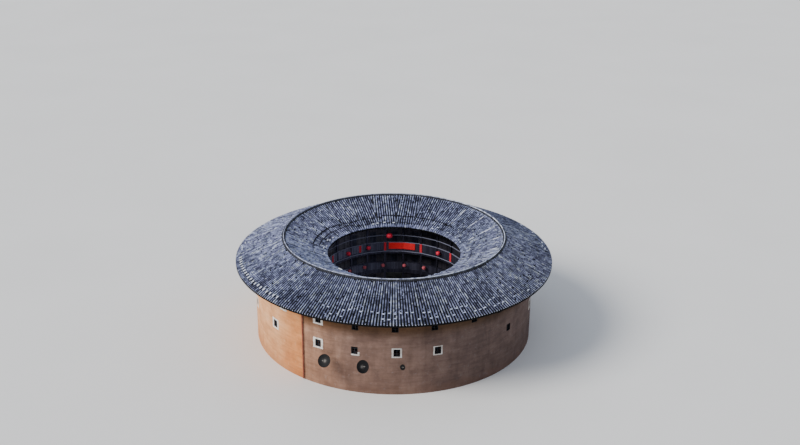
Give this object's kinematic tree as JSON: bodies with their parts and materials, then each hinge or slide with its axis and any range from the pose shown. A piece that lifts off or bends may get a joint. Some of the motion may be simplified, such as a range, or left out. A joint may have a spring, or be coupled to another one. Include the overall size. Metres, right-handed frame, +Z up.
{
  "type": "rammed-earth ring house (tulou), three storeys",
  "caption": "Round rammed-earth house: thick ring wall, timber galleries round an open court, ring roof with two slopes.",
  "frame": {"origin": "on the ground at the centre of the court", "axes": "+Z up, -Y towards the wall that the picture shows, +X to its right; the gateway is at +Y"},
  "size_m": [38.5832, 38.5832, 12.65],
  "materials": {
    "rammed_earth": "matte rammed earth with faint lift lines",
    "gallery_timber": "dark weathered timber",
    "plain_timber": "unpainted brown timber",
    "roof_tile": "matte grey clay tile",
    "ridge_tile": "matte pale grey tile and mortar",
    "stone": "dressed grey stone",
    "pipe_paint": "dull red-brown paint",
    "dish_metal": "dark matte paint",
    "red_cloth": "plain red cotton cloth"
  },
  "bodies": {
    "root": {"wall_front": "rammed_earth", "wall_front_right": "rammed_earth", "wall_right": "rammed_earth", "wall_back_right": "rammed_earth", "wall_back": "rammed_earth", "wall_back_left": "rammed_earth", "wall_left": "rammed_earth", "wall_front_left": "rammed_earth", "gallery_front": "gallery_timber", "gallery_front_right": "gallery_timber", "gallery_right": "gallery_timber", "gallery_back_right": "gallery_timber", "gallery_back": "gallery_timber", "gallery_back_left": "gallery_timber", "gallery_left": "gallery_timber", "gallery_front_left": "gallery_timber", "roof_outer_front": "roof_tile", "roof_outer_front_right": "roof_tile", "roof_outer_right": "roof_tile", "roof_outer_back_right": "roof_tile", "roof_outer_back": "roof_tile", "roof_outer_back_left": "roof_tile", "roof_outer_left": "roof_tile", "roof_outer_front_left": "roof_tile", "roof_inner_front": "roof_tile", "roof_inner_front_right": "roof_tile", "roof_inner_right": "roof_tile", "roof_inner_back_right": "roof_tile", "roof_inner_back": "roof_tile", "roof_inner_back_left": "roof_tile", "roof_inner_left": "roof_tile", "roof_inner_front_left": "roof_tile", "wall_plate": "plain_timber", "gate_frame": "stone", "ground_floor": "stone", "second_floor": "plain_timber", "third_floor": "plain_timber", "ground_room_front": "gallery_timber", "second_room_front": "gallery_timber", "third_room_front": "gallery_timber", "ridge_cap": "ridge_tile", "banner": "red_cloth", "drainpipe": "pipe_paint", "dish_left": "dish_metal", "dish_middle": "dish_metal", "dish_right": "dish_metal"}
  },
  "joints": []
}
